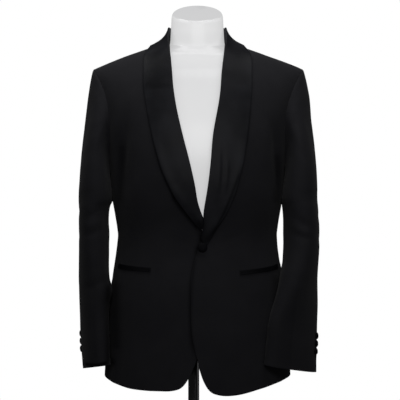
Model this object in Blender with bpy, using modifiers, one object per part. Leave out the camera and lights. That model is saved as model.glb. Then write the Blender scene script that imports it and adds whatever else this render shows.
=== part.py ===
"""A one-button tuxedo jacket with a satin shawl collar, worn by a limbless dress form on a stand.

Metres, +Z up. The wearer faces -Y, so the wearer's left side is at +X and laps over the right.
Shapes are rows of sections read along smooth curves. Lengths across the body are measured
outwards from the body's middle, CENTRE_X.
"""
import math

import bmesh
import bpy
import numpy as np
from mathutils import Vector

CENTRE_X = -0.0037       # the body stands this far beside the middle of the whole width
CENTRE_Y = 0.004         # side seams stand this far behind the middle of the whole depth
CLOTH = 0.0025           # wall of the wool panels
SATIN = 0.0020           # wall of the shawl collar
SEAM = 0.0004            # gap between pieces at a seam
LAP_OUT = 0.0036         # the left front is moved out this far where it laps over the right
LAP_IN = 0.0022          # and the right front is moved in this far

# body: sections by level, as mid-wall sizes
BODY_COLUMNS = ("level", "half_width", "front", "back", "square")
BODY_ROWS = (
    (0.120, 0.2030, 0.153, 0.147, 2.50),
    (0.195, 0.1995, 0.151, 0.145, 2.50),
    (0.300, 0.1925, 0.147, 0.139, 2.45),
    (0.414, 0.1810, 0.138, 0.128, 2.40),
    (0.449, 0.1757, 0.133, 0.122, 2.40),
    (0.480, 0.1713, 0.130, 0.118, 2.40),
    (0.518, 0.1735, 0.132, 0.119, 2.42),
    (0.553, 0.1795, 0.137, 0.124, 2.45),
    (0.600, 0.1845, 0.140, 0.130, 2.50),
    (0.650, 0.1890, 0.139, 0.133, 2.55),
    (0.690, 0.1950, 0.137, 0.132, 2.60),
    (0.745, 0.2060, 0.134, 0.130, 2.60),
    (0.800, 0.2200, 0.130, 0.128, 2.60),
    (0.853, 0.2380, 0.126, 0.126, 2.60),
)
SLOPE_FROM = 0.600       # above this level the rows tilt to follow the shoulder
TIP_LEVEL = 0.853        # level of the shoulder seam, measured at the shoulder tip
TIP_X = 0.2225           # shoulder tip from the body's middle
NECK_X = 0.0700          # neck end of the shoulder seam
SHOULDER_RISE = 0.067    # height the shoulder line would gain at the body's middle
SHOULDER_BEND = 1.50     # how much steeper the line is at the tip
ROUND_FRONT = 2.2        # roundness with which the chest closes to the shoulder seam
ROUND_BACK = 3.0         # and the back

# seams and armhole, as angles round the body: 0 is the front middle, 90 the side, 180 the back
SEAM_COLUMNS = ("level", "front_seam", "back_seam")
SEAM_ROWS = (
    (0.195, 56.0, 125.0),
    (0.400, 58.0, 122.0),
    (0.480, 62.0, 118.0),
    (0.600, 69.0, 110.0),
    (0.650, 73.6, 105.3),
)
HEM_LEVEL, FRONT_SEAM_ANGLE, BACK_SEAM_ANGLE = SEAM_ROWS[0]
ARMHOLE_COLUMNS = ("level", "front_edge", "back_edge")
ARMHOLE_ROWS = (
    (0.650, 73.6, 105.3),
    (0.690, 65.8, 112.5),
    (0.745, 57.8, 118.0),
    (0.800, 58.3, 118.5),
    (0.853, 62.1, 117.9),
)
ARMHOLE_START = 0.650    # level where the side panel ends and the armhole's sides begin
UNDERARM_DROP = 0.013    # the armhole's bottom lies this far below that

# inner edge of each front, from the cutaway up the front edge and the roll line to the neck
EDGE_COLUMNS = ("level", "edge_x")
LEFT_EDGE_ROWS = (
    (0.178, 0.0240), (0.185, 0.0180), (0.2015, 0.0110), (0.218, 0.0056), (0.239, 0.0010),
    (0.260, -0.0058), (0.280, -0.0099), (0.322, -0.0120), (0.363, -0.0130), (0.404, -0.0125),
    (0.442, -0.0070), (0.473, 0.0050), (0.515, 0.0144), (0.555, 0.0206), (0.600, 0.0280),
    (0.6423, 0.0338), (0.6893, 0.0398), (0.7374, 0.0522), (0.781, 0.0610), (0.8147, 0.0685),
    (0.840, 0.0700), (0.853, NECK_X),
)
RIGHT_EDGE_ROWS = (
    (0.187, 0.0275), (0.194, 0.0220), (0.210, 0.0130), (0.228, 0.0055), (0.245, 0.0000),
    (0.265, -0.0060), (0.300, -0.0115), (0.360, -0.0140), (0.420, -0.0155), (0.470, -0.0165),
    (0.500, -0.0165), (0.520, -0.0105), (0.555, 0.0022), (0.600, 0.0104), (0.6423, 0.0222),
    (0.6893, 0.0379), (0.7374, 0.0522), (0.781, 0.0622), (0.8147, 0.0690), (0.840, 0.0702),
    (0.853, NECK_X),
)
# hem of each side, by distance from the body's middle
HEM_COLUMNS = ("hem_x", "height")
LEFT_HEM_ROWS = (
    (0.0240, 0.1780), (0.0304, 0.1726), (0.0470, 0.1666), (0.0718, 0.1653), (0.1034, 0.1700),
    (0.1310, 0.1768), (0.1570, 0.1830), (0.1800, 0.1895), (0.1990, 0.1950),
)
RIGHT_HEM_ROWS = (
    (0.0275, 0.1870), (0.0337, 0.1812), (0.0462, 0.1768), (0.0814, 0.1746), (0.1150, 0.1752),
    (0.1407, 0.1775), (0.1600, 0.1810), (0.1800, 0.1870), (0.1990, 0.1940),
)
BACK_HEM = 0.196

# shawl collar over the front: its outer edge, matched to points of the roll line by level
LAPEL_COLUMNS = ("roll_level", "outer_x", "outer_z")
LEFT_LAPEL_ROWS = (
    (0.492, 0.0170, 0.484), (0.515, 0.0330, 0.505), (0.555, 0.0570, 0.539),
    (0.600, 0.0775, 0.585), (0.6423, 0.0931, 0.642), (0.6893, 0.1039, 0.705),
    (0.7374, 0.1100, 0.762), (0.781, 0.1145, 0.815), (0.8147, 0.1145, 0.855),
    (0.840, 0.1105, 0.882), (0.853, 0.0990, 0.8995),
)
RIGHT_LAPEL_ROWS = (
    (0.542, 0.0060, 0.526), (0.560, 0.0270, 0.551), (0.600, 0.0575, 0.597),
    (0.6423, 0.0768, 0.648), (0.6893, 0.0927, 0.705), (0.7374, 0.1036, 0.757),
    (0.781, 0.1120, 0.810), (0.8147, 0.1130, 0.852), (0.840, 0.1100, 0.881),
    (0.853, 0.0990, 0.8995),
)
LEFT_BREAK = 0.492       # level where the left lapel's roll line ends, just above the button
RIGHT_BREAK = 0.542      # and the right lapel's, which the left front covers
# shawl collar at the neck: crest of the fold above the neckline
CREST_COLUMNS = ("roll_level", "stand", "spread")
CREST_ROWS = (
    (0.492, 0.0015, 0.0021), (0.690, 0.0015, 0.0021), (0.740, 0.0030, 0.0023),
    (0.781, 0.0060, 0.0024), (0.8147, 0.0150, 0.0024), (0.840, 0.0250, 0.0024),
    (0.853, 0.0305, 0.0024),
)
BACK_STAND = 0.036       # height of the collar's fold above the neckline at the centre back
BACK_FILL = 0.005        # and how much higher it is between the back and the side
BACK_SPREAD = 0.0024     # the collar's fold is rolled round this radius at the neck
BACK_LEAN = 0.22         # how far the stand leans to the neck at the back
SIDE_LEAN = 0.30         # and at the side
NECK_BACK = 0.012        # the neck's middle lies this far behind the body's
COLLAR_REST = 0.0006     # the collar's edge rests this far off the cloth, beside the seam gap
COLLAR_REST_TOP = 0.0019  # and this much more where the shoulder bends away
STAND_EASE = 0.0004      # extra gap under the stand, where it meets the neckline at an angle
FOLD_RISE = 0.0016       # the fold's middle lies this far past the end of the stand
COLLAR_BULGE = 0.0016    # crown of the lapel between its roll line and its edge
BACK_HOLLOW = 0.0050     # and how far the collar sinks there round the back of the neck
BACK_HOLLOW_SKEW = 0.6   # deepest nearer to the fold
SIDE_HOLLOW = 0.0080     # and how far beside the neck, deepest halfway down
HOLLOW_FADE = 4          # how fast that hollow fades towards the lapel
BACK_NECK_LEVEL = 0.8300  # level of the centre back neck
COLLAR_FALL = 0.016      # the collar's outer edge lies this far below the back neckline

# sleeves: sections by height, in the frame's own x and y, wearer's right (-X) and left (+X)
SLEEVE_COLUMNS = ("z", "x", "y", "half_thin", "half_broad", "turn", "drop_out", "drop_back")
RIGHT_SLEEVE_ROWS = (
    (0.600, -0.2232, -0.018, 0.0333, 0.0780, 0.0, 0.0, 0.0),
    (0.573, -0.2228, -0.019, 0.0350, 0.0775, 0.0, 0.0, 0.0),
    (0.555, -0.2257, -0.020, 0.0317, 0.0770, 0.0, 0.0, 0.0),
    (0.500, -0.2259, -0.024, 0.0315, 0.0750, 2.0, 0.0, 0.0),
    (0.450, -0.2259, -0.030, 0.0310, 0.0725, 4.0, 0.0, 0.0),
    (0.400, -0.2245, -0.037, 0.0314, 0.0690, 8.0, 0.0, 0.0),
    (0.378, -0.2220, -0.040, 0.0330, 0.0678, 9.0, 0.01, 0.01),
    (0.350, -0.2240, -0.045, 0.0295, 0.0650, 10.0, 0.03, 0.02),
    (0.300, -0.2232, -0.054, 0.0270, 0.0610, 14.0, 0.08, 0.04),
    (0.255, -0.2206, -0.063, 0.0255, 0.0565, 17.0, 0.14, 0.07),
    (0.2165, -0.2172, -0.069, 0.0250, 0.0535, 18.0, 0.13, 0.10),
)
LEFT_SLEEVE_ROWS = (
    (0.600, 0.2175, -0.018, 0.0360, 0.0770, 0.0, 0.0, 0.0),
    (0.573, 0.2160, -0.019, 0.0375, 0.0770, 0.0, 0.0, 0.0),
    (0.555, 0.2182, -0.020, 0.0368, 0.0770, 0.0, 0.0, 0.0),
    (0.500, 0.2205, -0.024, 0.0372, 0.0745, 0.0, 0.0, 0.0),
    (0.450, 0.2190, -0.034, 0.0372, 0.0720, 6.0, 0.0, 0.0),
    (0.400, 0.2130, -0.050, 0.0352, 0.0710, 18.0, 0.0, 0.0),
    (0.350, 0.2065, -0.068, 0.0320, 0.0680, 34.0, 0.04, 0.0),
    (0.310, 0.1993, -0.082, 0.0294, 0.0650, 46.0, 0.09, 0.0),
    (0.266, 0.1960, -0.092, 0.0273, 0.0620, 53.0, 0.15, 0.0),
    (0.217, 0.1912, -0.099, 0.0260, 0.0620, 61.0, 0.19, 0.0),
)
SLEEVE_SQUARE = 2.2      # squareness of a sleeve's section
UNDERARM_EASE = 0.0010   # extra seam gap at the underarm, where the two walls meet at an angle
CLEARANCE = 0.0040       # a sleeve's mid wall keeps this far from the body's mid wall
CAP_LEAN_FRONT = 0.20    # how far the cap's start leans to the front and back, to the way out
CAP_LEAN_TOP = 0.15      # and its top to the front
CAP_REACH = 0.022        # how strongly the cap sets out sideways
CAP_REACH_SIDES = 0.030  # and how much more so at the front and back of the armhole
CAP_REACH_TOP = 0.002    # and at the shoulder tip
FRONT_SLEEVE_SEAM = 11   # point of the sleeve's ring that lies on the front seam
HIND_SLEEVE_SEAM = 8     # and on the hind seam, counted back from the ring's end
CUFF_BUTTON_POINT = 5    # and under the cuff's buttons

# dress form and stand
# columns: z, half_width, front, back, slant
FORM_ROWS = (
    (0.2620, 0.1420, 0.104, 0.098, 0.0),
    (0.2680, 0.1500, 0.111, 0.104, 0.0),
    (0.2850, 0.1560, 0.116, 0.108, 0.0),
    (0.3400, 0.1600, 0.118, 0.110, 0.0),
    (0.4200, 0.1520, 0.112, 0.104, 0.0),
    (0.4800, 0.1430, 0.106, 0.097, 0.0),
    (0.5500, 0.1500, 0.112, 0.102, 0.0),
    (0.6200, 0.1620, 0.120, 0.110, 0.0),
    (0.6800, 0.1680, 0.119, 0.114, 0.0),
    (0.7400, 0.1740, 0.110, 0.114, 0.0),
    (0.7900, 0.1780, 0.096, 0.108, 0.0),
    (0.8300, 0.1780, 0.078, 0.096, 0.0),
    (0.8550, 0.1700, 0.064, 0.086, 0.0),
    (0.8786, 0.1560, 0.056, 0.076, 0.0),
    (0.8890, 0.1270, 0.0490, 0.069, 0.0),
    (0.8955, 0.0930, 0.0455, 0.0650, 0.0),
    (0.9005, 0.0680, 0.0440, 0.0645, 0.0),
    (0.9080, 0.0595, 0.0438, 0.0655, 0.0),
    (0.9260, 0.0580, 0.0440, 0.0665, 0.0),
    (0.9420, 0.0570, 0.0435, 0.0660, 0.15),
    (0.9600, 0.0562, 0.0430, 0.0655, 0.35),
    (0.9700, 0.0550, 0.0425, 0.0650, 0.45),
    (0.9730, 0.0525, 0.0400, 0.0625, 0.45),
)
POLE_X = CENTRE_X - 0.0078
POLE_RADIUS = 0.012
BASE_RADIUS = 0.140
BASE_HEIGHT = 0.010
BASE_BEVEL = 0.0015
REST_GAP = 0.0003        # between pieces of the stand

# pockets, each two satin jets, and buttons
JET_WIDTH = 0.0052
JET_WALL = 0.0012
POCKET_COLUMNS = ("angle", "height")
RIGHT_POCKET_ROWS = ((29.1, 0.4240), (45.0, 0.4265), (76.6, 0.4330))
LEFT_POCKET_ROWS = ((28.0, 0.4185), (46.0, 0.4230), (74.0, 0.4315))
BUTTON_RADIUS = 0.0100
BUTTON_HEIGHT = 0.0048
BUTTON_ANGLE = 3.6
BUTTON_LEVEL = 0.4715
BUTTON_SHANK = 0.0018    # thread between the front button's flat back and the cloth
CUFF_BUTTON_RADIUS = 0.0072
CUFF_BUTTON_HEIGHT = 0.0042
CUFF_BUTTON_HEIGHTS = (0.250, 0.266, 0.282)

ACROSS_FRONT = 8
ACROSS_SIDE = 6
BACK_NECK_STEPS = 4
ROWS_LOW = 10
ROWS_ARMHOLE = 11
BREAK_ROW = 6            # row of the front's grid that meets the lower end of the roll line
CLOSE_LOW = 1.35         # how much closer the rows of the front's inner edge are at the hem
CLOSE_HIGH = 0.62        # share of even steps along the roll line, among steps closer at the top
CAP_STEPS = (0.0, 0.07, 0.16, 0.28, 0.44, 0.62, 0.81, 1.0)
FORM_SIDES = 32

WOOL_COLOUR = (0.010, 0.010, 0.012)
SATIN_COLOUR = (0.014, 0.014, 0.018)
FORM_COLOUR = (0.80, 0.80, 0.80)
STEEL_COLOUR = (0.60, 0.60, 0.62)


class Table:
    """Rows of named columns, sorted by the first, read between rows along a smooth curve."""

    def __init__(self, columns, rows):
        data = np.array(sorted(rows), dtype=float)
        self.keys = data[:, 0]
        self.values = {name: data[:, i] for i, name in enumerate(columns)}
        self.slopes = {name: np.gradient(column, self.keys)
                       for name, column in self.values.items()}

    def at(self, key, name):
        keys, values, slopes = self.keys, self.values[name], self.slopes[name]
        key = min(max(key, keys[0]), keys[-1])
        i = min(max(int(np.searchsorted(keys, key)) - 1, 0), len(keys) - 2)
        span = keys[i + 1] - keys[i]
        t = (key - keys[i]) / span
        return (values[i] * (1 + 2 * t) * (1 - t) ** 2 + slopes[i] * span * t * (1 - t) ** 2
                + values[i + 1] * t * t * (3 - 2 * t) + slopes[i + 1] * span * t * t * (t - 1))


BODY = Table(BODY_COLUMNS, BODY_ROWS)
SEAMS = Table(SEAM_COLUMNS, SEAM_ROWS)
ARMHOLE = Table(ARMHOLE_COLUMNS, ARMHOLE_ROWS)
CREST = Table(CREST_COLUMNS, CREST_ROWS)
SIDES = {
    "left": {
        "sign": 1.0, "break": LEFT_BREAK, "lap": LAP_OUT,
        "edge": Table(EDGE_COLUMNS, LEFT_EDGE_ROWS),
        "hem": Table(HEM_COLUMNS, LEFT_HEM_ROWS),
        "lapel": Table(LAPEL_COLUMNS, LEFT_LAPEL_ROWS),
        "sleeve": Table(SLEEVE_COLUMNS, LEFT_SLEEVE_ROWS),
        "pocket": Table(POCKET_COLUMNS, LEFT_POCKET_ROWS),
    },
    "right": {
        "sign": -1.0, "break": RIGHT_BREAK, "lap": -LAP_IN,
        "edge": Table(EDGE_COLUMNS, RIGHT_EDGE_ROWS),
        "hem": Table(HEM_COLUMNS, RIGHT_HEM_ROWS),
        "lapel": Table(LAPEL_COLUMNS, RIGHT_LAPEL_ROWS),
        "sleeve": Table(SLEEVE_COLUMNS, RIGHT_SLEEVE_ROWS),
        "pocket": Table(POCKET_COLUMNS, RIGHT_POCKET_ROWS),
    },
}


def unit(vector):
    return vector / np.linalg.norm(vector)


def ease(low, high, value):
    """0 below low, 1 above high, and a smooth step between them."""
    t = min(max((value - low) / (high - low), 0.0), 1.0)
    return t * t * (3 - 2 * t)


# the body's surface ---------------------------------------------------------------------------

def shoulder_height(x):
    return TIP_LEVEL + SHOULDER_RISE * (1 - (abs(x) / TIP_X) ** SHOULDER_BEND)


def height_at(level, x):
    """Height of a row where it passes x: flat below SLOPE_FROM, on the shoulder line at the top."""
    if level <= SLOPE_FROM:
        return level
    part = (level - SLOPE_FROM) / (TIP_LEVEL - SLOPE_FROM)
    return SLOPE_FROM + part * (shoulder_height(x) - SLOPE_FROM)


def level_at(x, z):
    if z <= SLOPE_FROM:
        return z
    part = (z - SLOPE_FROM) / (shoulder_height(x) - SLOPE_FROM)
    return SLOPE_FROM + part * (TIP_LEVEL - SLOPE_FROM)


def chest_fold(x, z):
    """Depth of the soft trough where the chest falls beside the sleeve."""
    across = math.exp(-((x - 0.166) / 0.014) ** 2)
    return 0.0050 * across * ease(0.54, 0.60, z) * (1 - ease(0.67, 0.74, z))


def lap_offset(side, x, z):
    """How far a front is moved out or in where the two overlap."""
    return SIDES[side]["lap"] * (1 - ease(0.004, 0.070, x)) * (1 - ease(0.53, 0.60, z))


def body_point(side, angle, level, out=0.0):
    """Point of one side's mid wall, at an angle in degrees from the front middle."""
    square = BODY.at(level, "square")
    part = max((level - SLOPE_FROM) / (TIP_LEVEL - SLOPE_FROM), 0.0)
    part = min(part, 1.0)
    sine, cosine = math.sin(math.radians(angle)), math.cos(math.radians(angle))
    size = (abs(sine) ** square + abs(cosine) ** square) ** (-1 / square)
    x = BODY.at(level, "half_width") * size * sine
    z = height_at(level, x)
    if cosine >= 0:
        depth = BODY.at(level, "front") * (1 - part ** ROUND_FRONT) ** (1 / ROUND_FRONT)
        y = -depth * size * cosine - lap_offset(side, x, z) + chest_fold(x, z)
    else:
        depth = BODY.at(level, "back") * (1 - part ** ROUND_BACK) ** (1 / ROUND_BACK)
        y = -depth * size * cosine
    point = np.array([CENTRE_X + SIDES[side]["sign"] * x, CENTRE_Y + y, z])
    if out:
        point = point + out * body_normal(side, angle, level)
    return point


def body_normal(side, angle, level):
    """Outward direction of the body's surface, which is straight up along the shoulder seam."""
    step_angle, step_level = 0.6, 0.0015
    level = min(level, TIP_LEVEL - step_level)
    across = body_point(side, angle + step_angle, level) - body_point(side, angle - step_angle,
                                                                      level)
    up = body_point(side, angle, level + step_level) - body_point(side, angle,
                                                                  level - step_level)
    normal = unit(np.cross(across, up)) * SIDES[side]["sign"]
    seam = ease(TIP_LEVEL - 0.004, TIP_LEVEL, level + step_level)
    return unit(normal * (1 - seam) + np.array([0.0, 0.0, 1.0]) * seam)


def angle_at(x, level, back=False):
    square = BODY.at(level, "square")
    across = min(abs(x) / BODY.at(level, "half_width"), 1.0)
    along = (1 - across ** square) ** (1 / square)
    angle = math.copysign(math.degrees(math.atan2(across, along)), x)
    return 180 - angle if back else angle


# panels: grids of (angle, level) --------------------------------------------------------------

def armhole_levels():
    steps = [math.sin(math.pi / 2 * k / ROWS_ARMHOLE) for k in range(ROWS_ARMHOLE + 1)]
    return [ARMHOLE_START + (TIP_LEVEL - ARMHOLE_START) * step for step in steps]


def hem_x(angle):
    """Distance of the hem from the body's middle, at an angle up to 90 degrees."""
    square = BODY.at(HEM_LEVEL, "square")
    sine, cosine = math.sin(math.radians(angle)), math.cos(math.radians(angle))
    return BODY.at(HEM_LEVEL, "half_width") * sine / (
        sine ** square + cosine ** square) ** (1 / square)


def hem_level(side, angle):
    """The hem's height at an angle round the body."""
    hem = SIDES[side]["hem"]
    if angle < 90:
        return hem.at(hem_x(angle), "height")
    at_side = hem.at(hem.keys[-1], "height")
    return at_side + (BACK_HEM - at_side) * ease(90, BACK_SEAM_ANGLE, angle)


def side_levels(side, angle):
    """Levels of the low rows, from the hem to the start of the armhole."""
    hem = hem_level(side, angle)
    return [hem + (ARMHOLE_START - hem) * k / ROWS_LOW for k in range(ROWS_LOW + 1)]


def front_outer_edge(side):
    low = [(SEAMS.at(level, "front_seam"), level)
           for level in side_levels(side, FRONT_SEAM_ANGLE)]
    high = [(ARMHOLE.at(level, "front_edge"), level) for level in armhole_levels()]
    return low + high[1:]


def front_inner_edge(side):
    """Points up the cutaway, the front edge, the roll line and the neckline."""
    shape = SIDES[side]
    first = shape["edge"].keys[0]
    low = [first + (shape["break"] - first) * (k / BREAK_ROW) ** CLOSE_LOW for k in range(BREAK_ROW)]
    rows = ROWS_LOW + ROWS_ARMHOLE - BREAK_ROW
    high = []
    for k in range(rows + 1):
        part = k / rows
        closer = math.sin(math.pi / 2 * part)
        step = CLOSE_HIGH * part + (1 - CLOSE_HIGH) * closer
        step += (closer - step) * part
        high.append(shape["break"] + (TIP_LEVEL - shape["break"]) * step)
    levels = low + high
    return [(angle_at(shape["edge"].at(level, "edge_x"), level), level) for level in levels]


def front_cells(side):
    """The front's grid, with its bottom row on the curved hem."""
    outer, inner = front_outer_edge(side), front_inner_edge(side)
    hem = SIDES[side]["hem"]
    first_x = hem.keys[0]
    last_x = hem_x(outer[0][0])
    cells = []
    for row, (start, end) in enumerate(zip(outer, inner)):
        pull = (1 - row / (ROWS_LOW + ROWS_ARMHOLE)) ** 4
        line = []
        for column in range(ACROSS_FRONT + 1):
            part = column / ACROSS_FRONT
            angle = start[0] + (end[0] - start[0]) * part
            level = start[1] + (end[1] - start[1]) * part
            x = last_x + (first_x - last_x) * part ** 0.8
            height = hem.at(x, "height")
            hem_angle = angle_at(x, height)
            straight_angle = outer[0][0] + (inner[0][0] - outer[0][0]) * part
            straight_level = outer[0][1] + (inner[0][1] - outer[0][1]) * part
            angle += pull * (hem_angle - straight_angle) * (0 < part < 1)
            level += pull * (height - straight_level) * (0 < part < 1)
            line.append((angle, level))
        cells.append(line)
    return cells


def side_cells(side):
    cells = []
    for row in range(ROWS_LOW + 1):
        line = []
        for column in range(ACROSS_SIDE + 1):
            part = column / ACROSS_SIDE
            hem_angle = FRONT_SEAM_ANGLE + (BACK_SEAM_ANGLE - FRONT_SEAM_ANGLE) * part
            hem = hem_level(side, hem_angle)
            top = ARMHOLE_START - UNDERARM_DROP * (1 - (2 * part - 1) ** 2)
            level = hem + (top - hem) * row / ROWS_LOW
            front = SEAMS.at(level, "front_seam")
            back = SEAMS.at(level, "back_seam")
            line.append((front + (back - front) * part, level))
        cells.append(line)
    return cells


def back_cells(side):
    """The back's grid, from the side seam and armhole to the centre back seam."""
    low = [(SEAMS.at(level, "back_seam"), level) for level in side_levels(side, BACK_SEAM_ANGLE)]
    high = [(ARMHOLE.at(level, "back_edge"), level) for level in armhole_levels()]
    outer = low + high[1:]
    across = ACROSS_FRONT + BACK_NECK_STEPS
    neck_angle = angle_at(NECK_X, TIP_LEVEL, back=True)
    top_levels = neckline_levels()
    last = len(outer) - 1
    cells = []
    for row, (start_angle, start_level) in enumerate(outer):
        line = []
        for column in range(across + 1):
            part = column / across
            if column <= ACROSS_FRONT:
                top_angle = outer[last][0] + (neck_angle - outer[last][0]) * (
                    column / ACROSS_FRONT)
                top_level = TIP_LEVEL
            else:
                top_angle, top_level = top_levels[column - ACROSS_FRONT]
            rise = row / last
            bend = ease(0.35, 1.0, rise)
            even_angle = start_angle + (180 - start_angle) * part
            angle = even_angle + (top_angle - even_angle) * bend
            sink = (TIP_LEVEL - top_level) * ease(0.5, 1.0, rise)
            line.append((angle, start_level - sink))
        cells.append(line)
    return cells


def neckline_levels():
    """Angles and levels round the back neckline, from the neck point to the centre back."""
    points = []
    for k in range(BACK_NECK_STEPS + 1):
        turn = math.pi / 2 * k / BACK_NECK_STEPS
        level = TIP_LEVEL + (BACK_NECK_LEVEL - TIP_LEVEL) * math.sin(turn) ** 0.75
        x = NECK_X * math.cos(turn)
        points.append((angle_at(x, level, back=True) if x > 1e-6 else 180.0, level))
    return points


def surface(side, cells):
    """Points and outward directions of a grid of (angle, level)."""
    points = np.array([[body_point(side, a, level) for a, level in line] for line in cells])
    normals = np.array([[body_normal(side, a, level) for a, level in line] for line in cells])
    return points, normals


def trim(points, edges):
    """Draw the named edges of a grid in by half a seam gap."""
    points = points.copy()
    half = SEAM / 2
    if "first_column" in edges:
        points[:, 0] += half * directions(points[:, 1] - points[:, 0])
    if "last_column" in edges:
        points[:, -1] += half * directions(points[:, -2] - points[:, -1])
    if "first_row" in edges:
        points[0] += half * directions(points[1] - points[0])
    if "last_row" in edges:
        points[-1] += half * directions(points[-2] - points[-1])
    return points


def directions(vectors):
    return vectors / np.linalg.norm(vectors, axis=-1, keepdims=True)


# meshes ---------------------------------------------------------------------------------------

def material(name, colour, roughness, metallic=0.0):
    new = bpy.data.materials.new(name)
    new.use_nodes = True
    shader = new.node_tree.nodes["Principled BSDF"]
    shader.inputs["Base Color"].default_value = (*colour, 1.0)
    shader.inputs["Roughness"].default_value = roughness
    shader.inputs["Metallic"].default_value = metallic
    return new


def wool(name):
    return material(name, WOOL_COLOUR, 0.85)


def satin(name):
    return material(name, SATIN_COLOUR, 0.38)


def add_object(name, mesh, look):
    made = bpy.data.objects.new(name, mesh)
    mesh.materials.append(look)
    mesh.shade_smooth()
    mesh.set_sharp_from_angle(angle=math.radians(40))
    parts.objects.link(made)
    return made


def wall(name, points, normals, thickness, look):
    """A cloth wall: a grid of mid-wall points, thickened to both sides, with its rims closed."""
    rows, columns = points.shape[:2]
    mesh = bpy.data.meshes.new(name)
    build = bmesh.new()
    skins = []
    for offset in (thickness / 2, -thickness / 2):
        skins.append([[build.verts.new(points[r, c] + offset * normals[r, c])
                       for c in range(columns)] for r in range(rows)])
    outer, inner = skins
    for r in range(rows - 1):
        for c in range(columns - 1):
            build.faces.new((outer[r][c], outer[r][c + 1], outer[r + 1][c + 1],
                             outer[r + 1][c]))
            build.faces.new((inner[r][c], inner[r + 1][c], inner[r + 1][c + 1],
                             inner[r][c + 1]))
    rim = [(0, c) for c in range(columns)] + [(r, columns - 1) for r in range(1, rows)]
    rim += [(rows - 1, c) for c in range(columns - 2, -1, -1)]
    rim += [(r, 0) for r in range(rows - 2, 0, -1)]
    for (r, c), (next_r, next_c) in zip(rim, rim[1:] + rim[:1]):
        build.faces.new((outer[r][c], inner[r][c], inner[next_r][next_c],
                         outer[next_r][next_c]))
    bmesh.ops.recalc_face_normals(build, faces=build.faces)
    bmesh.ops.triangulate(build, faces=build.faces)
    build.to_mesh(mesh)
    build.free()
    return add_object(name, mesh, look)


def grid_normals(points, like):
    """Outward directions of a grid from its own points, on the side that `like` faces."""
    along = np.gradient(points, axis=0)
    across = np.gradient(points, axis=1)
    normals = directions(np.cross(across, along))
    facing = np.sign(np.sum(normals * like, axis=-1, keepdims=True))
    facing[facing == 0] = 1
    return normals * facing


# sleeves --------------------------------------------------------------------------------------

def clear_of_body(side, point):
    """Move a sleeve's point out of the body's section, where it would touch the skirt."""
    x, y, z = point
    local_x, local_y = x - CENTRE_X, y - CENTRE_Y
    square = BODY.at(z, "square")
    depth = BODY.at(z, "front" if local_y < 0 else "back")
    fill = (abs(local_x) / BODY.at(z, "half_width")) ** square + (abs(local_y) / depth) ** square
    radius = math.hypot(local_x, local_y)
    edge = radius * fill ** (-1 / square)
    short = edge + CLEARANCE - radius
    if short <= 0:
        return point
    direction = np.array([local_x, local_y, 0.0]) / radius
    return point + short * direction


def armhole_ring(side, front, sides, back):
    """Armhole edge points, the way out past each edge, and the body's outward directions."""
    ring = []
    top = ROWS_LOW + ROWS_ARMHOLE
    for row in range(top, ROWS_LOW, -1):
        ring.append((front[0][row, 0], front[0][row, 0] - front[0][row, 1], front[1][row, 0]))
    for column in range(ACROSS_SIDE + 1):
        ring.append((sides[0][-1, column], sides[0][-1, column] - sides[0][-2, column],
                     sides[1][-1, column]))
    for row in range(ROWS_LOW + 1, top):
        ring.append((back[0][row, 0], back[0][row, 0] - back[0][row, 1], back[1][row, 0]))
    return ring


def ring_turns(ring):
    """Each ring point's place round the sleeve, as an angle from the top, by length."""
    points = np.array([entry[0] for entry in ring])
    lengths = np.linalg.norm(np.roll(points, -1, axis=0) - points, axis=1)
    return 2 * math.pi * np.concatenate(([0.0], np.cumsum(lengths)[:-1])) / lengths.sum()


def section_point(side, z, turn, shape):
    """Point of a sleeve's section: turn 0 is outermost, a quarter turn is the front."""
    sign = SIDES[side]["sign"]
    sine, cosine = math.sin(turn), math.cos(turn)
    size = (abs(sine) ** SLEEVE_SQUARE + abs(cosine) ** SLEEVE_SQUARE) ** (-1 / SLEEVE_SQUARE)
    thin = shape.at(z, "half_thin") * size * cosine
    broad = shape.at(z, "half_broad") * size * sine
    lean = math.radians(shape.at(z, "turn"))
    x = sign * (thin * math.cos(lean) - broad * math.sin(lean))
    y = -broad * math.cos(lean) - thin * math.sin(lean)
    drop = shape.at(z, "drop_out") * sign * x + shape.at(z, "drop_back") * y
    point = np.array([shape.at(z, "x") + x, CENTRE_Y + shape.at(z, "y") + y, z - drop])
    return clear_of_body(side, point)


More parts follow.
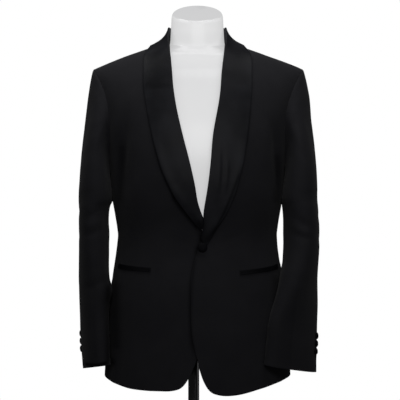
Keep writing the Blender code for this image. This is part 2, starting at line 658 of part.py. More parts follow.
def sleeve_grid(side, ring):
    """Rings from the armhole, over the cap, down to the cuff."""
    shape = SIDES[side]["sleeve"]
    sign = SIDES[side]["sign"]
    turns = ring_turns(ring)
    rows = list(shape.keys[::-1])
    levels = sorted(rows + [(high + low) / 2 for high, low in zip(rows, rows[1:])], reverse=True)
    lower = [[section_point(side, z, turn, shape) for turn in turns] for z in levels]
    count = len(ring)
    cap = [[None] * count for _ in CAP_STEPS[:-1]]
    starts = []
    for i, (edge, way, normal) in enumerate(ring):
        way = unit(way - np.dot(way, normal) * normal)
        high = math.cos(turns[i])
        outward = unit(np.array([sign, -CAP_LEAN_FRONT * math.sin(turns[i]),
                                 -CAP_LEAN_TOP * max(high, 0.0)]))
        loop = unit(ring[(i + 1) % count][0] - ring[i - 1][0])
        face = unit(np.cross(outward, loop))
        if np.dot(face, normal - 0.6 * way * (high <= -0.7)) < 0:
            face = -face
        gap = SEAM + CLOTH / 2 * abs(np.dot(face, way)) + UNDERARM_EASE * (1 - high) / 2
        start = edge + gap * way
        starts.append((start, face))
        end = lower[0][i]
        reach = (CAP_REACH + CAP_REACH_SIDES * math.sin(turns[i]) ** 2
                 + CAP_REACH_TOP * max(high, 0.0))
        fall = lower[2][i] - lower[0][i]
        fall = unit(fall) * np.linalg.norm(end - start) * 1.05
        for k, t in enumerate(CAP_STEPS[:-1]):
            cap[k][i] = (start * (1 + 2 * t) * (1 - t) ** 2 + outward * reach * t * (1 - t) ** 2
                         + end * t * t * (3 - 2 * t) + fall * t * t * (t - 1))
    points = np.array(cap + lower)
    middle = points.mean(axis=1, keepdims=True)
    closed = np.concatenate((points[:, -1:], points, points[:, :1]), axis=1)
    like = points - middle
    like = np.concatenate((like[:, -1:], like, like[:, :1]), axis=1)
    normals = grid_normals(closed, like)[:, 1:-1]
    normals[0] = [face for _, face in starts]
    return points, normals


def make_sleeve(side, ring):
    """The top sleeve runs round the outside, the under sleeve along the body."""
    points, normals = sleeve_grid(side, ring)
    count = points.shape[1]
    hind_seam = count - HIND_SLEEVE_SEAM
    under = list(range(FRONT_SLEEVE_SEAM, hind_seam + 1))
    top = list(range(hind_seam, count)) + list(range(FRONT_SLEEVE_SEAM + 1))
    for name, columns in (("top_sleeve", top), ("under_sleeve", under)):
        cut = trim(points[:, columns], ("first_column", "last_column"))
        wall(f"{name}_{side}", cut, normals[:, columns], CLOTH, wool(f"{name}_{side}_wool"))
    return points, normals


# shawl collar ---------------------------------------------------------------------------------

def collar_stations(side, front, back):
    """Seam point, crest direction and outer edge, from the centre back to the break."""
    shape = SIDES[side]
    sign = shape["sign"]
    stations = []
    middle = np.array([CENTRE_X, CENTRE_Y + NECK_BACK, 0.0])
    side_outer_x = shape["lapel"].at(TIP_LEVEL, "outer_x")
    side_outer_z = shape["lapel"].at(TIP_LEVEL, "outer_z")
    rest = CLOTH / 2 + SEAM + SATIN / 2 + COLLAR_REST
    across = ACROSS_FRONT + BACK_NECK_STEPS
    for k in range(BACK_NECK_STEPS):
        column = across - k
        seam = back[0][-1, column]
        turn = math.pi / 2 * k / BACK_NECK_STEPS
        edge_x = side_outer_x * math.sin(turn)
        low = height_at(BACK_NECK_LEVEL, 0.0) - COLLAR_FALL
        edge_z = low + (side_outer_z - low) * math.sin(turn) ** 2
        level = min(level_at(edge_x, edge_z), TIP_LEVEL - 0.0008)
        angle = angle_at(edge_x, level, back=True) if k else 180.0
        edge = body_point(side, angle, level, out=rest + COLLAR_REST_TOP)
        away = unit((seam - middle) * np.array([1.0, 1.0, 0.0]))
        stand = BACK_STAND + (CREST.at(TIP_LEVEL, "stand") - BACK_STAND) * math.sin(turn) ** 2
        stand += BACK_FILL * math.sin(2 * turn) ** 2
        lean = unit(np.array([0.0, 0.0, 1.0]) - BACK_LEAN * away)
        hollow = (BACK_HOLLOW, BACK_HOLLOW_SKEW)
        stations.append((seam, lean, away, stand, BACK_SPREAD, edge, 1.0, hollow))
    for row in range(ROWS_LOW + ROWS_ARMHOLE, BREAK_ROW - 1, -1):
        seam = front[0][row, -1]
        level = front_inner_edge(side)[row][1]
        outer_z = shape["lapel"].at(level, "outer_z")
        outer_x = shape["lapel"].at(level, "outer_x")
        outer_level = min(level_at(outer_x, outer_z), TIP_LEVEL - 0.0008)
        outer_angle = angle_at(outer_x, outer_level)
        lift = rest + COLLAR_REST_TOP * ease(0.80, TIP_LEVEL, level)
        edge = body_point(side, outer_angle, outer_level, out=lift)
        inward = seam - front[0][row, -2]
        inward = unit(inward - np.dot(inward, front[1][row, -1]) * front[1][row, -1])
        standing = ease(0.76, TIP_LEVEL, level)
        away = unit((seam - middle) * np.array([1.0, 1.0, 0.0]))
        up = unit(np.array([-SIDE_LEAN * sign, 0.0, 1.0]))
        lean = unit(inward * (1 - standing) + up * standing)
        out = front[1][row, -1] * (1 - standing) + away * standing
        out = unit(out - np.dot(out, lean) * lean)
        hollow = (SIDE_HOLLOW * standing ** HOLLOW_FADE, 1.0)
        stations.append((seam, lean, out, CREST.at(level, "stand"), CREST.at(level, "spread"),
                         edge, standing, hollow))
    return stations


def make_collar(side, front, back):
    """Each station crosses the collar: up the stand, over the fold, down the leaf."""
    rows = []
    likes = []
    for station in collar_stations(side, front, back):
        seam, lean, out, stand, radius, edge, standing, (hollow, skew) = station
        start = seam + SEAM * lean
        if stand > 0.01:
            start = start + (CLOTH / 2 + STAND_EASE) * lean
        core = seam + (stand + SEAM + FOLD_RISE) * lean + radius * out
        turned = []
        for degrees in (-90, -45, 0, 45, 90):
            swing = math.radians(degrees)
            turned.append(core + radius * (math.sin(swing) * out + math.cos(swing) * lean))
        leaf = []
        fold_end = turned[-1]
        for part in (0.30, 0.65):
            bulge = COLLAR_BULGE * (1 - standing) * math.sin(math.pi * part)
            bulge -= hollow * math.sin(math.pi * part ** skew)
            leaf.append(fold_end + (edge - fold_end) * part + bulge * out)
        rows.append([start] + turned + leaf + [edge])
        likes.append([-out, -out, unit(lean - out), lean, unit(lean + out), out, out, out, out])
    points = np.array(rows)
    points = trim(points, ("first_row",))
    normals = grid_normals(points, np.array(likes))
    wall(f"shawl_collar_{side}", points, normals, SATIN, satin(f"shawl_collar_{side}_satin"))
    return points, normals


# pockets and buttons --------------------------------------------------------------------------

def make_pocket(side):
    """Two narrow jets, one above and one below the pocket's mouth, laid on the panels."""
    shape = SIDES[side]["pocket"]
    lift = CLOTH / 2 + SEAM + JET_WALL / 2
    angles = np.linspace(shape.keys[0], shape.keys[-1], 9)
    for name, low in (("upper", SEAM / 2), ("lower", -SEAM / 2 - JET_WIDTH)):
        cells = []
        for height in (low, low + JET_WIDTH):
            cells.append([(angle, shape.at(angle, "height") + height) for angle in angles])
        points = np.array([[body_point(side, a, level, out=lift) for a, level in line]
                           for line in cells])
        normals = np.array([[body_normal(side, a, level) for a, level in line]
                            for line in cells])
        wall(f"pocket_jet_{name}_{side}", points, normals, JET_WALL,
             satin(f"pocket_jet_{name}_{side}_satin"))


def make_button(name, base, normal, radius, height, look):
    """A cloth-covered button: a flat underside, a round rim and a shallow dome."""
    profile = ((0.0, height), (0.55, 0.93 * height), (0.85, 0.74 * height),
               (1.0, 0.42 * height), (0.93, 0.12 * height), (0.72, 0.0), (0.0, 0.0))
    mesh = bpy.data.meshes.new(name)
    build = bmesh.new()
    corners = [build.verts.new((part * radius, 0.0, up)) for part, up in profile]
    for first, second in zip(corners, corners[1:]):
        build.edges.new((first, second))
    build.to_mesh(mesh)
    build.free()
    made = add_object(name, mesh, look)
    made.location = base
    made.rotation_mode = "QUATERNION"
    made.rotation_quaternion = Vector(normal).to_track_quat("Z", "Y")
    turned = made.modifiers.new("turn", "SCREW")
    turned.steps = 18
    turned.render_steps = 18
    turned.use_merge_vertices = True
    turned.merge_threshold = 0.00005
    return made


# dress form and stand -------------------------------------------------------------------------

def make_form():
    """Rounded sections from the hips to the neck, closed flat below and by a slanted cap."""
    mesh = bpy.data.meshes.new("form_torso")
    build = bmesh.new()
    rings = []
    for row in FORM_ROWS:
        z, half_width, front, back, slant = row
        ring = []
        for k in range(FORM_SIDES):
            turn = 2 * math.pi * k / FORM_SIDES
            x = half_width * math.sin(turn)
            y = -math.cos(turn) * (front if math.cos(turn) > 0 else back)
            ring.append(build.verts.new((CENTRE_X + x, CENTRE_Y + y, z + slant * y)))
        rings.append(ring)
    for low, high in zip(rings, rings[1:]):
        for k in range(FORM_SIDES):
            after = (k + 1) % FORM_SIDES
            build.faces.new((low[k], low[after], high[after], high[k]))
    build.faces.new(rings[0])
    build.faces.new(rings[-1])
    bmesh.ops.recalc_face_normals(build, faces=build.faces)
    build.to_mesh(mesh)
    build.free()
    return add_object("form_torso", mesh, material("form_gloss", FORM_COLOUR, 0.12))


def make_stand():
    bottom = BASE_HEIGHT + REST_GAP
    top = FORM_ROWS[0][0] - REST_GAP
    bpy.ops.mesh.primitive_cylinder_add(
        vertices=32, radius=POLE_RADIUS, depth=top - bottom,
        location=(POLE_X, CENTRE_Y, (top + bottom) / 2))
    finish_primitive("form_pole", material("pole_steel", STEEL_COLOUR, 0.15, 1.0))
    bpy.ops.mesh.primitive_cylinder_add(
        vertices=64, radius=BASE_RADIUS, depth=BASE_HEIGHT,
        location=(POLE_X, CENTRE_Y, BASE_HEIGHT / 2))
    base = finish_primitive("form_base", material("base_steel", STEEL_COLOUR, 0.2, 1.0))
    bevel = base.modifiers.new("edge", "BEVEL")
    bevel.width = BASE_BEVEL
    bevel.segments = 2
    bevel.limit_method = "ANGLE"


def finish_primitive(name, look):
    made = bpy.context.object
    made.name = name
    made.data.name = name
    made.data.materials.append(look)
    made.data.shade_smooth()
    made.data.set_sharp_from_angle(angle=math.radians(40))
    for collection in list(made.users_collection):
        collection.objects.unlink(made)
    parts.objects.link(made)
    return made


# the whole ------------------------------------------------------------------------------------

def make_side(side):
    front = surface(side, front_cells(side))
    sides = surface(side, side_cells(side))
    back = surface(side, back_cells(side))
    ring = armhole_ring(side, front, sides, back)
    wall(f"front_{side}", trim(front[0], ("first_column", "last_row")), front[1], CLOTH,
         wool(f"front_{side}_wool"))
    wall(f"side_panel_{side}", trim(sides[0], ("first_column", "last_column")), sides[1],
         CLOTH, wool(f"side_panel_{side}_wool"))
    wall(f"back_{side}", trim(back[0], ("first_column", "last_column", "last_row")), back[1],
         CLOTH, wool(f"back_{side}_wool"))
    make_collar(side, front, back)
    make_pocket(side)
    points, normals = make_sleeve(side, ring)
    make_cuff_buttons(side, points, normals)


def make_cuff_buttons(side, points, normals):
    """Three buttons in a row beside the hind seam, on the outside of the cuff."""
    column = points.shape[1] - CUFF_BUTTON_POINT
    heights = points[:, column, 2][::-1]
    for number, height in enumerate(CUFF_BUTTON_HEIGHTS, start=1):
        place = [np.interp(height, heights, points[:, column, axis][::-1]) for axis in range(3)]
        facing = unit(np.array([np.interp(height, heights, normals[:, column, axis][::-1])
                                for axis in range(3)]))
        base = np.array(place) + (CLOTH / 2 + SEAM) * facing
        make_button(f"cuff_button_{side}_{number}", base, facing, CUFF_BUTTON_RADIUS,
                    CUFF_BUTTON_HEIGHT, satin(f"cuff_button_{side}_{number}_satin"))


for existing in list(bpy.data.objects):
    bpy.data.objects.remove(existing, do_unlink=True)
parts = bpy.data.collections.new("tuxedo_jacket")
bpy.context.scene.collection.children.link(parts)

for side_name in SIDES:
    make_side(side_name)
make_button("front_button", body_point("left", BUTTON_ANGLE, BUTTON_LEVEL,
                                       out=CLOTH / 2 + BUTTON_SHANK),
            body_normal("left", BUTTON_ANGLE, BUTTON_LEVEL), BUTTON_RADIUS, BUTTON_HEIGHT,
            satin("front_button_satin"))
make_form()
make_stand()
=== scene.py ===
"""Looks of a one-button tuxedo jacket with a satin shawl collar, worn by a dress form on a stand.

Metres, +Z up, the wearer faces -Y. Each cloth panel is a smoothed copy of its rigid solid, with
turned edges, closed seams, soft creases and a fabric of its own.
"""
import math

import bmesh
import bpy
import numpy as np
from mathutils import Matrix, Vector, kdtree, noise


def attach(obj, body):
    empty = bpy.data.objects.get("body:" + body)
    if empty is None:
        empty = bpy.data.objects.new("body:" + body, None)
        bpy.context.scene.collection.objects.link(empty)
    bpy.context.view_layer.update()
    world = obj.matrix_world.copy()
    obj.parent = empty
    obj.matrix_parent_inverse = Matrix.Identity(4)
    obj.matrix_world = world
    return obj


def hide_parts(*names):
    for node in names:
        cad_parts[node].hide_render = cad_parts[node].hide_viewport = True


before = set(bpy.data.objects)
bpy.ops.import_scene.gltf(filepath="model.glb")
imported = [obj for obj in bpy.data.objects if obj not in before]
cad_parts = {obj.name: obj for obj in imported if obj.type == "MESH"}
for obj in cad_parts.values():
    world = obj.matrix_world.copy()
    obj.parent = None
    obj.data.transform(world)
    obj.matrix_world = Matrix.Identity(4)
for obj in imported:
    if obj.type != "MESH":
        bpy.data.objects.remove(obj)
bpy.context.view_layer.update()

CENTRE_X = -0.0037       # middle of the body
CENTRE_Y = 0.004
BODY_WIDE, BODY_DEEP = 0.190, 0.135
SLEEVE_THIN, SLEEVE_BROAD = 0.034, 0.072
FINE = 3                 # times that each face of a panel is halved
PLAIN_FINE = 2           # and each face of a button or of the form
FIT_ROUNDS = 4           # rounds that bring a smoothed panel back onto its solid's corners
EDGE_ROLL = 0.0009       # roundness of a turned edge
COLLAR_ROLL, JET_ROLL = 0.0007, 0.0005
JOIN = 0.00030           # each panel's edge grows this far towards its seam
ARMHOLE_JOIN = 0.0012    # and a sleeve's edge this far under the armhole's edge
ARMHOLE_FROM = 0.62      # height above which a sleeve's edge lies in the armhole
WALL_REACH = 0.004       # an edge shorter than this crosses the cloth's thickness
SAME_WAY = 0.8           # cosine above which two rims count as facing the same way

SIDES = {"left": 1.0, "right": -1.0}
BODY_PIECES = ("front", "side_panel", "back")
SLEEVE_PIECES = ("top_sleeve", "under_sleeve")

# middle line of each sleeve: height, x, y
SLEEVE_LINE = {
    "left": ((0.217, 0.191, -0.095), (0.310, 0.199, -0.078), (0.400, 0.213, -0.046),
             (0.500, 0.2205, -0.020), (0.600, 0.219, -0.014), (0.860, 0.205, 0.004)),
    "right": ((0.217, -0.217, -0.065), (0.310, -0.223, -0.048), (0.400, -0.2245, -0.033),
              (0.500, -0.226, -0.020), (0.600, -0.2245, -0.014), (0.860, -0.212, 0.004)),
}

# soft creases: the face that they are seen on, their line as (across, height) in metres, where
# across is x on the front and back and y on the sides, then width and height, troughs below 0
CREASES = {
    "body": (
        ("front", ((-0.1500, 0.765), (-0.1570, 0.690), (-0.1660, 0.620), (-0.1740, 0.560)),
         0.0100, -0.0040),
        ("front", ((-0.1400, 0.740), (-0.1500, 0.660), (-0.1620, 0.580), (-0.1650, 0.520)),
         0.0200, -0.0030),
        ("front", ((-0.1790, 0.400), (-0.1740, 0.330), (-0.1680, 0.250)), 0.0150, -0.0028),
        ("front", ((-0.1350, 0.740), (-0.1400, 0.680), (-0.1450, 0.620)), 0.0100, 0.0012),
        ("front", ((0.1560, 0.740), (0.1610, 0.690), (0.1660, 0.630), (0.1700, 0.565)),
         0.0080, -0.0034),
        ("front", ((0.1400, 0.735), (0.1450, 0.680), (0.1480, 0.620)), 0.0100, 0.0010),
        # lapel on the wearer's left
        ("front", ((0.0500, 0.675), (0.0500, 0.630), (0.0460, 0.580)), 0.0034, -0.0010),
        ("front", ((0.0590, 0.660), (0.0580, 0.620), (0.0540, 0.580)), 0.0036, 0.0008),
        ("front", ((0.0430, 0.670), (0.0420, 0.620), (0.0390, 0.585)), 0.0030, 0.0005),
        # beside the left front's edge
        ("front", ((-0.0150, 0.455), (-0.0190, 0.400), (-0.0195, 0.330), (-0.0150, 0.250)),
         0.0045, -0.0010),
        # pull of the button
        ("front", ((0.0250, 0.4740), (0.0600, 0.4860), (0.0980, 0.5020)), 0.0075, -0.0006),
        ("front", ((0.0200, 0.4600), (0.0560, 0.4480), (0.0900, 0.4280)), 0.0085, -0.0005),
        ("front", ((-0.0080, 0.4740), (-0.0500, 0.4880), (-0.0950, 0.5080)), 0.0080, -0.0006),
        ("front", ((-0.0120, 0.4600), (-0.0480, 0.4470), (-0.0850, 0.4300)), 0.0090, -0.0005),
        # across the waist at the sides and back
        ("left", ((-0.040, 0.505), (0.010, 0.492), (0.060, 0.500)), 0.0090, -0.0010),
        ("right", ((-0.035, 0.500), (0.015, 0.488), (0.065, 0.498)), 0.0090, -0.0010),
        ("back", ((-0.150, 0.520), (-0.090, 0.492), (-0.020, 0.484)), 0.0100, -0.0011),
        ("back", ((0.145, 0.515), (0.085, 0.490), (0.018, 0.484)), 0.0100, -0.0011),
        ("back", ((-0.130, 0.548), (-0.070, 0.525), (-0.015, 0.520)), 0.0110, 0.0008),
        ("back", ((0.125, 0.545), (0.070, 0.522), (0.015, 0.519)), 0.0110, 0.0008),
        # below the back of the collar and behind the armholes
        ("back", ((-0.085, 0.842), (0.000, 0.828), (0.085, 0.842)), 0.0100, -0.0012),
        ("back", ((-0.080, 0.818), (0.000, 0.806), (0.080, 0.818)), 0.0110, 0.0007),
        ("back", ((-0.160, 0.745), (-0.164, 0.680), (-0.158, 0.620)), 0.0110, -0.0022),
        ("back", ((0.158, 0.750), (0.162, 0.685), (0.157, 0.625)), 0.0110, -0.0022),
        ("back", ((-0.140, 0.730), (-0.144, 0.670), (-0.140, 0.615)), 0.0110, 0.0010),
        ("back", ((0.139, 0.735), (0.143, 0.672), (0.138, 0.615)), 0.0110, 0.0010),
    ),
    "sleeve_left": (
        ("front", ((0.196, 0.540), (0.216, 0.522), (0.238, 0.512)), 0.0080, -0.0016),
        ("front", ((0.194, 0.500), (0.216, 0.492), (0.240, 0.486)), 0.0075, -0.0013),
        ("front", ((0.192, 0.520), (0.212, 0.506), (0.236, 0.499)), 0.0070, 0.0008),
        ("front", ((0.184, 0.420), (0.206, 0.404), (0.230, 0.398)), 0.0090, -0.0010),
        ("left", ((-0.070, 0.560), (-0.040, 0.535), (0.000, 0.520)), 0.0090, -0.0012),
        ("left", ((-0.078, 0.500), (-0.045, 0.486), (-0.005, 0.480)), 0.0090, -0.0010),
        ("left", ((0.020, 0.800), (0.034, 0.740), (0.036, 0.670)), 0.0120, -0.0016),
        ("left", ((-0.030, 0.800), (-0.048, 0.740), (-0.052, 0.660)), 0.0120, -0.0012),
        ("back", ((0.200, 0.520), (0.222, 0.508), (0.244, 0.505)), 0.0090, -0.0012),
        ("back", ((0.198, 0.470), (0.220, 0.462), (0.242, 0.462)), 0.0090, -0.0009),
    ),
    "sleeve_right": (
        ("front", ((-0.200, 0.555), (-0.220, 0.540), (-0.243, 0.530)), 0.0080, -0.0015),
        ("front", ((-0.198, 0.512), (-0.220, 0.500), (-0.245, 0.494)), 0.0075, -0.0014),
        ("front", ((-0.198, 0.533), (-0.218, 0.519), (-0.243, 0.511)), 0.0070, 0.0008),
        ("front", ((-0.200, 0.400), (-0.222, 0.388), (-0.243, 0.384)), 0.0090, -0.0010),
        ("right", ((-0.075, 0.575), (-0.045, 0.548), (0.000, 0.530)), 0.0090, -0.0012),
        ("right", ((-0.080, 0.510), (-0.045, 0.495), (-0.005, 0.488)), 0.0090, -0.0010),
        ("right", ((0.022, 0.800), (0.036, 0.740), (0.038, 0.670)), 0.0120, -0.0016),
        ("right", ((-0.028, 0.800), (-0.046, 0.740), (-0.050, 0.660)), 0.0120, -0.0012),
        ("back", ((-0.204, 0.520), (-0.226, 0.508), (-0.248, 0.505)), 0.0090, -0.0012),
        ("back", ((-0.202, 0.470), (-0.224, 0.462), (-0.246, 0.462)), 0.0090, -0.0009),
    ),
}

# painted shading, which stays whatever the light is, on lines like the creases':
# face, line, width, strength
SHADES = {
    "body": (
        ("front", ((-0.1161, 0.813), (-0.1003, 0.722), (-0.0901, 0.673), (-0.0759, 0.625),
                   (-0.0489, 0.568)),
         0.0030, 0.45),
        ("front", ((-0.0560, 0.582), (-0.0489, 0.568), (-0.0312, 0.544), (-0.0146, 0.5242),
                   (0.0, 0.5066)),
         0.0048, 0.65),
        ("front", ((0.1061, 0.842), (0.1061, 0.757), (0.0998, 0.695), (0.0853, 0.628),
                   (0.0666, 0.578)),
         0.0030, 0.45),
        ("front", ((0.0740, 0.592), (0.0666, 0.578), (0.0510, 0.541), (0.0374, 0.516),
                   (0.0229, 0.493), (0.0125, 0.4806)),
         0.0050, 0.65),
        ("front", ((0.0037, 0.5055), (0.0037, 0.4847), (-0.0021, 0.4720), (-0.0073, 0.4556)),
         0.0050, 0.50),
        ("front", ((-0.0073, 0.4556), (-0.0156, 0.393), (-0.0177, 0.341), (-0.0166, 0.289),
                   (-0.0104, 0.254)),
         0.0042, 0.35),
        ("front", ((-0.1620, 0.690), (-0.1620, 0.620), (-0.1695, 0.560)), 0.0100, 0.38),
        ("front", ((0.1650, 0.670), (0.1664, 0.620), (0.1643, 0.560)), 0.0100, 0.42),
        ("front", ((-0.1800, 0.400), (-0.1780, 0.330), (-0.1740, 0.250)), 0.0130, 0.42),
        ("front", ((0.1640, 0.410), (0.1610, 0.330)), 0.0090, 0.32),
        ("front", ((-0.1930, 0.2310), (-0.1780, 0.2240)), 0.0090, 0.65),
    ),
    "lapel": (
        ("front", ((-0.0759, 0.625), (-0.0489, 0.568), (-0.0312, 0.544), (-0.0146, 0.5242),
                   (0.0, 0.5066)),
         0.0026, 0.55),
        ("front", ((0.0853, 0.628), (0.0666, 0.578), (0.0510, 0.541), (0.0374, 0.516),
                   (0.0229, 0.493)),
         0.0026, 0.50),
        ("front", ((0.0020, 0.5300), (0.0040, 0.5060), (0.0120, 0.4780)), 0.0130, 0.50),
        ("front", ((-0.1020, 0.890), (-0.0900, 0.855), (-0.0840, 0.800)), 0.0260, 0.42),
        ("front", ((0.0960, 0.890), (0.0850, 0.855), (0.0820, 0.810)), 0.0240, 0.22),
    ),
    "sleeve_right": (
        ("front", ((-0.2480, 0.2235), (-0.2373, 0.2240), (-0.2100, 0.2262), (-0.1900, 0.2305)),
         0.0035, 0.85),
        ("front", ((-0.1900, 0.4000), (-0.1900, 0.3300), (-0.1880, 0.2250)), 0.0070, 0.50),
        ("left", ((-0.060, 0.420), (-0.075, 0.225)), 0.0500, 0.22),
    ),
    "sleeve_left": (
        ("right", ((-0.070, 0.420), (-0.095, 0.225)), 0.0450, 0.18),
    ),
}

# outer edge of each lapel, x and height, which stands off the front below it
LAPEL_EDGES = {
    "left": ((0.0290, 0.505), (0.0530, 0.539), (0.0735, 0.585), (0.0890, 0.642), (0.1000, 0.705)),
    "right": ((-0.0200, 0.540), (-0.0610, 0.597), (-0.0805, 0.648), (-0.0965, 0.705)),
}
LAPEL_LIFT, LAPEL_REACH = 0.0022, 0.012
JET_WIDTH = 0.0052
JET_PRESSED = 0.80       # of its height
JET_SPAN = {"left": (0.0, 0.86), "right": (0.045, 0.74)}     # part of its length that shows

SKIRT_WAVE, SKIRT_WAVES, SKIRT_TURN = 0.0011, 5.0, 0.8       # height, number around and start
SKIRT_LOW, SKIRT_HIGH = 0.17, 0.40
UNEVEN = ((0.0008, 11.0, 1), (0.00035, 34.0, 2))             # height, scale and seed
PUCKER, PUCKER_REACH = 0.00016, 0.006
PUCKER_RIPPLE, PUCKER_DRIFT = 430.0, 60.0                    # ripples and their drift, in height
# how strongly the shoulder's outward direction turns up, and the heights that it turns between
TURN_UP = {"body": (9.0, 0.78, 0.89), "sleeve": (30.0, 0.76, 0.88)}

# each panel's cut: largest width and length, and its area, of what shows
CUTS = {
    "front_left": (0.225, 0.755, 0.1336), "front_right": (0.235, 0.745, 0.1368),
    "side_panel_left": (0.180, 0.470, 0.0648), "side_panel_right": (0.180, 0.470, 0.0650),
    "back_left": (0.235, 0.735, 0.1467), "back_right": (0.235, 0.735, 0.1467),
    "top_sleeve_left": (0.260, 0.665, 0.1323), "top_sleeve_right": (0.255, 0.660, 0.1269),
    "under_sleeve_left": (0.125, 0.545, 0.0525), "under_sleeve_right": (0.120, 0.540, 0.0503),
    "shawl_collar_left": (0.095, 0.600, 0.0438), "shawl_collar_right": (0.095, 0.560, 0.0396),
    "pocket_jet_upper_left": (0.0102, 0.118, 0.00056),
    "pocket_jet_lower_left": (0.0102, 0.118, 0.00056),
    "pocket_jet_upper_right": (0.0102, 0.097, 0.00046),
    "pocket_jet_lower_right": (0.0102, 0.097, 0.00046),
}


def ease(low, high, value):
    t = np.clip((value - low) / (high - low), 0.0, 1.0)
    return t * t * (3 - 2 * t)


# meshes ---------------------------------------------------------------------------------------

def coordinates(mesh):
    points = np.empty(len(mesh.vertices) * 3)
    mesh.vertices.foreach_get("co", points)
    return points.reshape(-1, 3)


def set_coordinates(mesh, points):
    mesh.vertices.foreach_set("co", np.ascontiguousarray(points).ravel())
    mesh.update()


def evaluated(obj):
    graph = bpy.context.evaluated_depsgraph_get()
    graph.update()
    return bpy.data.meshes.new_from_object(obj.evaluated_get(graph), depsgraph=graph)


def apply_modifiers(obj):
    mesh = evaluated(obj)
    obj.modifiers.clear()
    old = obj.data
    obj.data = mesh
    bpy.data.meshes.remove(old)
    return obj


def quads_of(node, name):
    """A new object with the node's shape, its triangles joined into four-sided faces."""
    build = bmesh.new()
    build.from_mesh(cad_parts[node].data)
    bmesh.ops.remove_doubles(build, verts=build.verts, dist=2e-6)
    bmesh.ops.join_triangles(build, faces=build.faces, angle_face_threshold=math.radians(35),
                             angle_shape_threshold=math.radians(80))
    mesh = bpy.data.meshes.new(name)
    build.to_mesh(mesh)
    build.free()
    made = bpy.data.objects.new(name, mesh)
    bpy.context.scene.collection.objects.link(made)
    return made


def crease_rims(obj, grow=0.0, grow_armhole=0.0, sharp_degrees=48, corner_degrees=130):
    """Sharpen the edges between the skins and the rims, and grow the rims towards the seams."""
    build = bmesh.new()
    build.from_mesh(obj.data)
    build.normal_update()
    crease = build.edges.layers.float.new("crease_edge")
    corner = build.verts.layers.float.new("crease_vert")
    for edge in build.edges:
        if len(edge.link_faces) == 2 and edge.calc_face_angle() > math.radians(sharp_degrees):
            edge[crease] = 1.0
    moves = {}
    for vertex in build.verts:
        sharp = [edge for edge in vertex.link_edges if edge[crease] > 0]
        if not sharp:
            continue
        if len(sharp) >= 3:
            vertex[corner] = 1.0
        elif len(sharp) == 2:
            first, second = (edge.other_vert(vertex).co - vertex.co for edge in sharp)
            if first.angle(second) < math.radians(corner_degrees):
                vertex[corner] = 1.0
        rims = [face for face in vertex.link_faces
                if all(edge[crease] > 0 or edge.calc_length() < WALL_REACH for edge in face.edges)]
        directions = []
        for face in rims:
            if all(face.normal.dot(known) < SAME_WAY for known in directions):
                directions.append(face.normal.copy())
        reach = grow
        if grow_armhole and vertex.co.z > ARMHOLE_FROM:
            reach = grow_armhole
        moves[vertex] = sum(directions, Vector()) * reach
    for vertex, move in moves.items():
        vertex.co += move
    build.to_mesh(obj.data)
    build.free()


def smooth(obj, steps):
    """Subdivide a mesh so that the smooth surface still passes through its corners."""
    modifier = obj.modifiers.new("smooth", "SUBSURF")
    modifier.levels = modifier.render_levels = 1
    target = coordinates(obj.data)
    control = target.copy()
    for _ in range(FIT_ROUNDS):
        fine = evaluated(obj)
        control = control + target - coordinates(fine)[:len(target)]
        bpy.data.meshes.remove(fine)
        set_coordinates(obj.data, control)
    modifier.levels = modifier.render_levels = steps
    return apply_modifiers(obj)


def roll_edges(obj, width=EDGE_ROLL):
    bevel = obj.modifiers.new("roll", "BEVEL")
    bevel.width = width
    bevel.segments = 2
    bevel.limit_method = "ANGLE"
    bevel.angle_limit = math.radians(50)
    return apply_modifiers(obj)


# cloth shapes ---------------------------------------------------------------------------------

def outward(group, points):
    """Direction away from the body's or the sleeve's middle, the same for all layers there."""
    if group == "body":
        across = (points[:, 0] - CENTRE_X) / BODY_WIDE ** 2
        along = (points[:, 1] - CENTRE_Y) / BODY_DEEP ** 2
        turn, low, high = TURN_UP["body"]
    else:
        line = np.array(SLEEVE_LINE[group.split("_")[1]])
        middle_x = np.interp(points[:, 2], line[:, 0], line[:, 1])
        middle_y = np.interp(points[:, 2], line[:, 0], line[:, 2])
        across = (points[:, 0] - middle_x) / SLEEVE_THIN ** 2
        along = (points[:, 1] - middle_y) / SLEEVE_BROAD ** 2
        turn, low, high = TURN_UP["sleeve"]
    up = turn * ease(low, high, points[:, 2])
    field = np.stack([across, along, up], axis=1)
    return field / np.linalg.norm(field, axis=1, keepdims=True)


def along_line(flat, line):
    """Distance of each point from a bent line, and how far along the line it lies, 0 to 1."""
    line = np.array(line)
    lengths = np.linalg.norm(np.diff(line, axis=0), axis=1)
    starts = np.concatenate(([0.0], np.cumsum(lengths)))
    best = np.full(len(flat), np.inf)
    place = np.zeros(len(flat))
    for first, second, start, length in zip(line, line[1:], starts, lengths):
        part = np.clip((flat - first) @ (second - first) / length ** 2, 0.0, 1.0)
        distance = np.linalg.norm(flat - first - part[:, None] * (second - first), axis=1)
        nearer = distance < best
        best[nearer] = distance[nearer]
        place[nearer] = (start + part[nearer] * length) / starts[-1]
    return best, place


def noise_at(points, scale, seed):
    offset = Vector((seed * 7.31, seed * 3.17, seed * 5.71))
    return np.array([noise.noise(Vector(p) * scale + offset) for p in points])


FACES = {"front": (0, (0, -1)), "back": (0, (0, 1)), "left": (1, (1, 0)), "right": (1, (-1, 0))}


